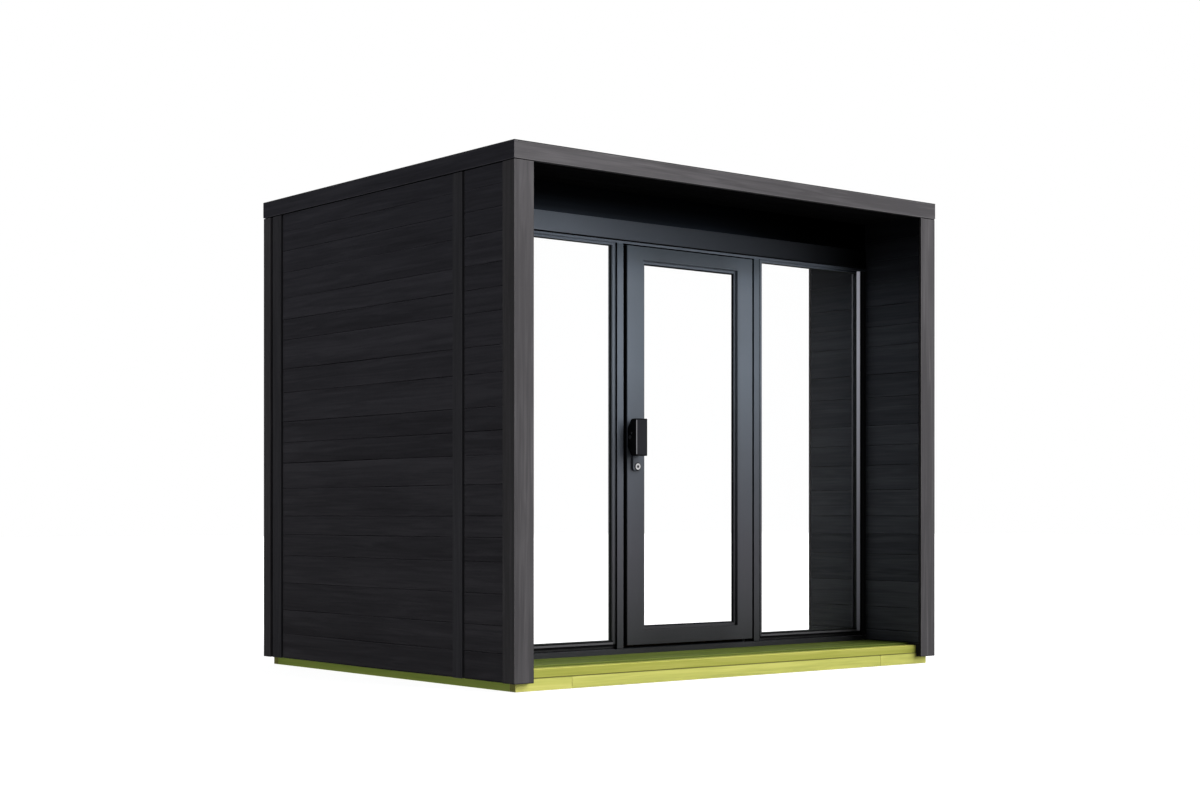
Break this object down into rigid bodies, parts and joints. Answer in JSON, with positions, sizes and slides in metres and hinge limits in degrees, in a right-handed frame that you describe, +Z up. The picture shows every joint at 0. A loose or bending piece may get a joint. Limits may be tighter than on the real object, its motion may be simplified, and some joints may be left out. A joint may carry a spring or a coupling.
{
  "type": "outdoor sauna cabin",
  "caption": "Flat-roofed dark timber sauna cabin on a green timber base, with an open porch, full-height glazed front and an outward-opening glazed door.",
  "frame": {"origin": "on the ground at the centre of the plan, under the base", "axes": "+X to the right along the front, +Y from the porch towards the rear, +Z up"},
  "size_m": [2.854, 2.284, 2.5],
  "materials": {
    "dark_wood": "dark stained, fine grain",
    "black_board": "black stained board",
    "green_wood": "green stained, planed",
    "pale_wood": "plain planed boards",
    "grey_metal": "satin powder coat",
    "black_metal": "satin black",
    "roof_membrane": "matt sheet",
    "mirror_glass": "reflective solar glass",
    "steel": "brushed"
  },
  "bodies": {
    "cabin": {"base_front_boards": "green_wood", "base_side_boards": "green_wood", "base_rear_board": "green_wood", "base_joists": "green_wood", "deck_nosing": "green_wood", "porch_deck": "green_wood", "cabin_floor": "pale_wood", "front_posts": "dark_wood", "rear_posts": "dark_wood", "left_wall": "black_board", "right_wall": "black_board", "rear_wall": "black_board", "side_cladding": "dark_wood", "side_trims": "dark_wood", "rear_cladding": "dark_wood", "rear_trims": "dark_wood", "porch_linings": "dark_wood", "porch_soffit": "black_board", "lintel_panel": "black_board", "side_linings": "pale_wood", "rear_lining": "pale_wood", "ceiling_lining": "pale_wood", "roof_panel": "black_board", "roof_membrane": "roof_membrane", "front_fascia": "dark_wood", "side_fascias": "dark_wood", "rear_fascia": "dark_wood", "roof_edge_trim": "black_metal", "header_panel": "grey_metal", "frame_head": "grey_metal", "frame_sill": "grey_metal", "frame_jambs": "dark_wood", "mullions": "grey_metal", "door_stops": "black_metal", "sidelight_frames": "grey_metal", "sidelight_beads": "grey_metal", "sidelight_glass": "mirror_glass"},
    "door": {"door_stiles": "grey_metal", "door_rails": "grey_metal", "door_beads": "grey_metal", "door_glass": "mirror_glass", "lock_plate": "grey_metal", "door_pull": "black_metal", "lock_cylinder": "steel", "door_pivots": "black_metal"}
  },
  "joints": [
    {"name": "door_hinge", "type": "hinge", "parent": "cabin", "child": "door", "pos_m": [0.3915, -0.715, 1], "axis": [0, 0, 1], "range_deg": [0, 110]}
  ]
}
